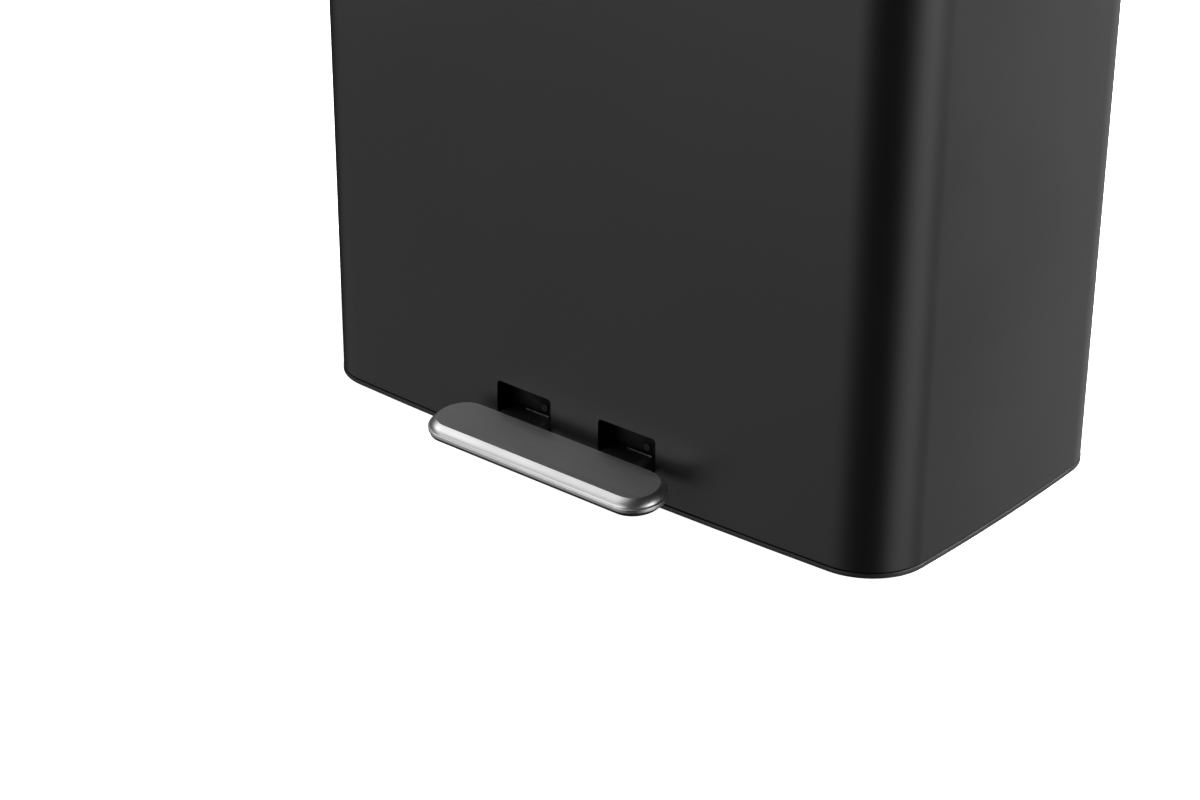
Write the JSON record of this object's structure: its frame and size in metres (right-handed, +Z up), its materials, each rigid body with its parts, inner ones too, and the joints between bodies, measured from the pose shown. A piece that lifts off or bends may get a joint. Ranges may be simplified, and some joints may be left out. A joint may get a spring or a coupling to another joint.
{
  "type": "pedal trash can",
  "caption": "Slim rectangular step-on bin: matt black steel shell on a black base, wide brushed pedal on two arms, hinged lid worked by a lever and push rod, lift-out bucket.",
  "frame": {"origin": "on the floor, under the middle of the overall width and of the overall depth from the pedal's front edge to the back of the hinge housing", "axes": "+Z up, the pedal faces -Y, +X to the right seen from the pedal's side"},
  "size_m": [0.5006, 0.3248, 0.628],
  "materials": {
    "shell_paint": "matt black powder coat",
    "pedal_steel": "brushed stainless steel",
    "black_plastic": "moulded black, fine texture",
    "lever_paint": "satin black paint on steel, bare at its worn edges",
    "plated_steel": "plain plated steel",
    "screw_steel": "bright zinc plate",
    "rubber": "matt",
    "bucket_plastic": "moulded dark grey"
  },
  "bodies": {
    "can": {"outer_shell": "shell_paint", "base_tray": "black_plastic", "base_cover": "black_plastic", "base_screws": "screw_steel", "rubber_feet": "rubber", "slot_housing": "black_plastic", "slot_screws": "screw_steel", "lever_axle": "plated_steel", "axle_blocks": "black_plastic", "axle_clips": "plated_steel", "rod_guides": "black_plastic", "guide_rivets": "screw_steel", "damper_cylinder": "black_plastic", "damper_brackets": "black_plastic", "damper_rivets": "screw_steel", "top_collar": "black_plastic", "hinge_housing": "black_plastic", "housing_screws": "screw_steel", "hinge_pin": "plated_steel", "pin_caps": "black_plastic", "lid_bumpers": "rubber", "inner_bucket": "bucket_plastic", "bag_ring": "black_plastic"},
    "lever": {"pedal_lever": "lever_paint", "pedal_cap": "pedal_steel", "pedal_base": "black_plastic", "pedal_screws": "screw_steel"},
    "rod": {"push_rod": "plated_steel", "rod_foot": "black_plastic", "damper_piston": "plated_steel", "damper_clamp": "black_plastic"},
    "lid": {"lid_skin": "shell_paint", "lid_liner": "black_plastic", "lid_hinge_arms": "plated_steel", "lid_crank": "plated_steel", "lid_screws": "screw_steel"}
  },
  "joints": [
    {"name": "lid_hinge", "type": "hinge", "parent": "can", "child": "lid", "pos_m": [0, 0.1541, 0.612], "axis": [-1, 0, 0], "range_deg": [0, 80]},
    {"name": "pedal_pivot", "type": "hinge", "parent": "can", "child": "lever", "pos_m": [0, -0.0525, 0.017], "axis": [1, 0, 0], "range_deg": [0, 6.2]},
    {"name": "rod_slide", "type": "slide", "parent": "can", "child": "rod", "axis": [0, 0, 1], "range_m": [0, 0.021]}
  ],
  "couplings": [
    {"joint": "pedal_pivot", "follows": "lid_hinge", "ratio": 0.0771},
    {"joint": "rod_slide", "follows": "lid_hinge", "m_per_rad": 0.014897}
  ]
}
